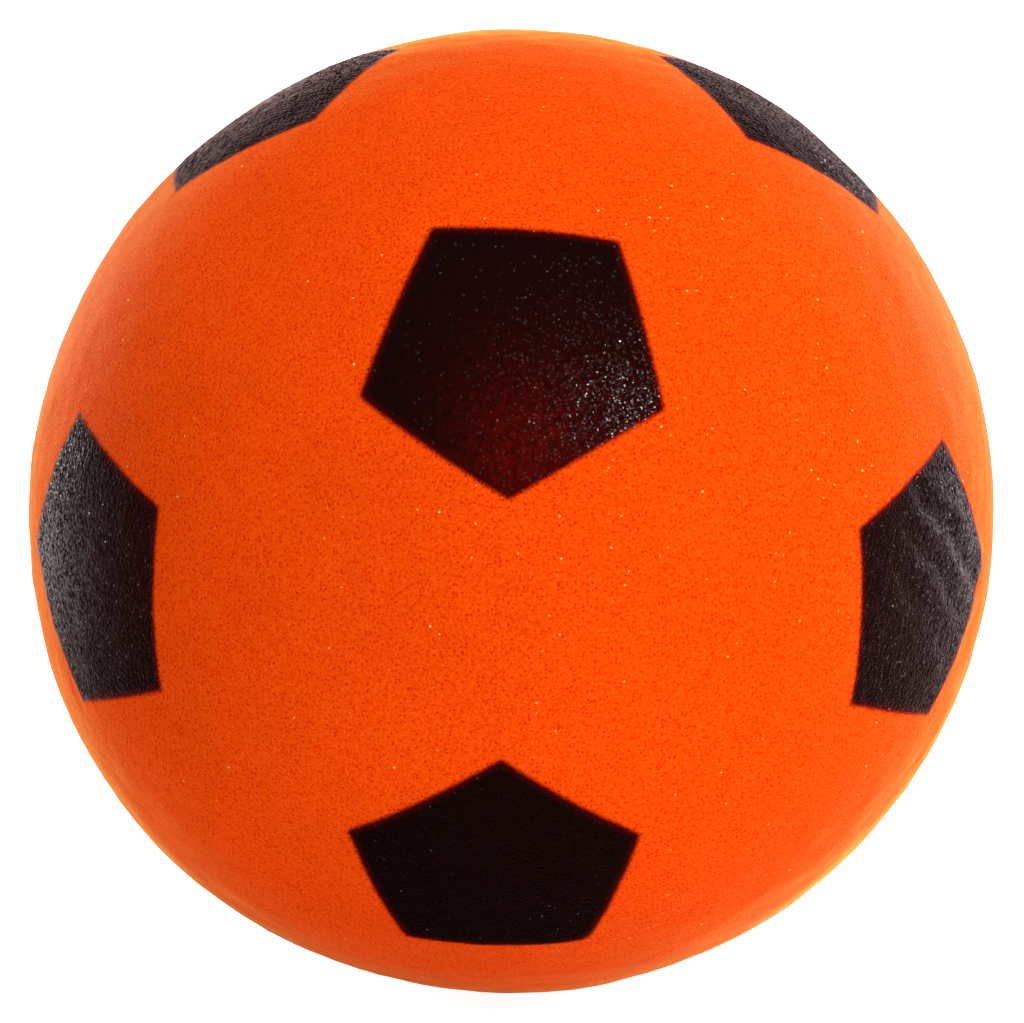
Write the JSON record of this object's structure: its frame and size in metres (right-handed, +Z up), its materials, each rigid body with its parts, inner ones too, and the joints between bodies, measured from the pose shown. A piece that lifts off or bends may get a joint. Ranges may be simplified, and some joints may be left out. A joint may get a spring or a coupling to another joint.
{
  "type": "foam soccer ball",
  "caption": "Round soft foam ball for play indoors, orange through and through, with a traditional pattern of black pentagons painted into its surface.",
  "frame": {"origin": "on the ground, under the middle of the ball, at the centre of the small flat on which it stands", "axes": "+Z up through the middle of the ball, -Y towards the side that the picture shows, +X to the right of that view"},
  "size_m": [0.2, 0.2, 0.1995],
  "materials": {
    "foam": "matte open-cell polyurethane foam, dyed through",
    "paint": "black paint soaked into the foam's cells, dull with small glints"
  },
  "bodies": {
    "root": {"foam_ball": "foam", "pentagon_front_upper": "paint", "pentagon_front_lower": "paint", "pentagon_left_front": "paint", "pentagon_right_front": "paint", "pentagon_top_left": "paint", "pentagon_top_right": "paint", "pentagon_rear_upper": "paint", "pentagon_rear_lower": "paint", "pentagon_left_rear": "paint", "pentagon_right_rear": "paint", "pentagon_bottom_left": "paint", "pentagon_bottom_right": "paint"}
  },
  "joints": []
}
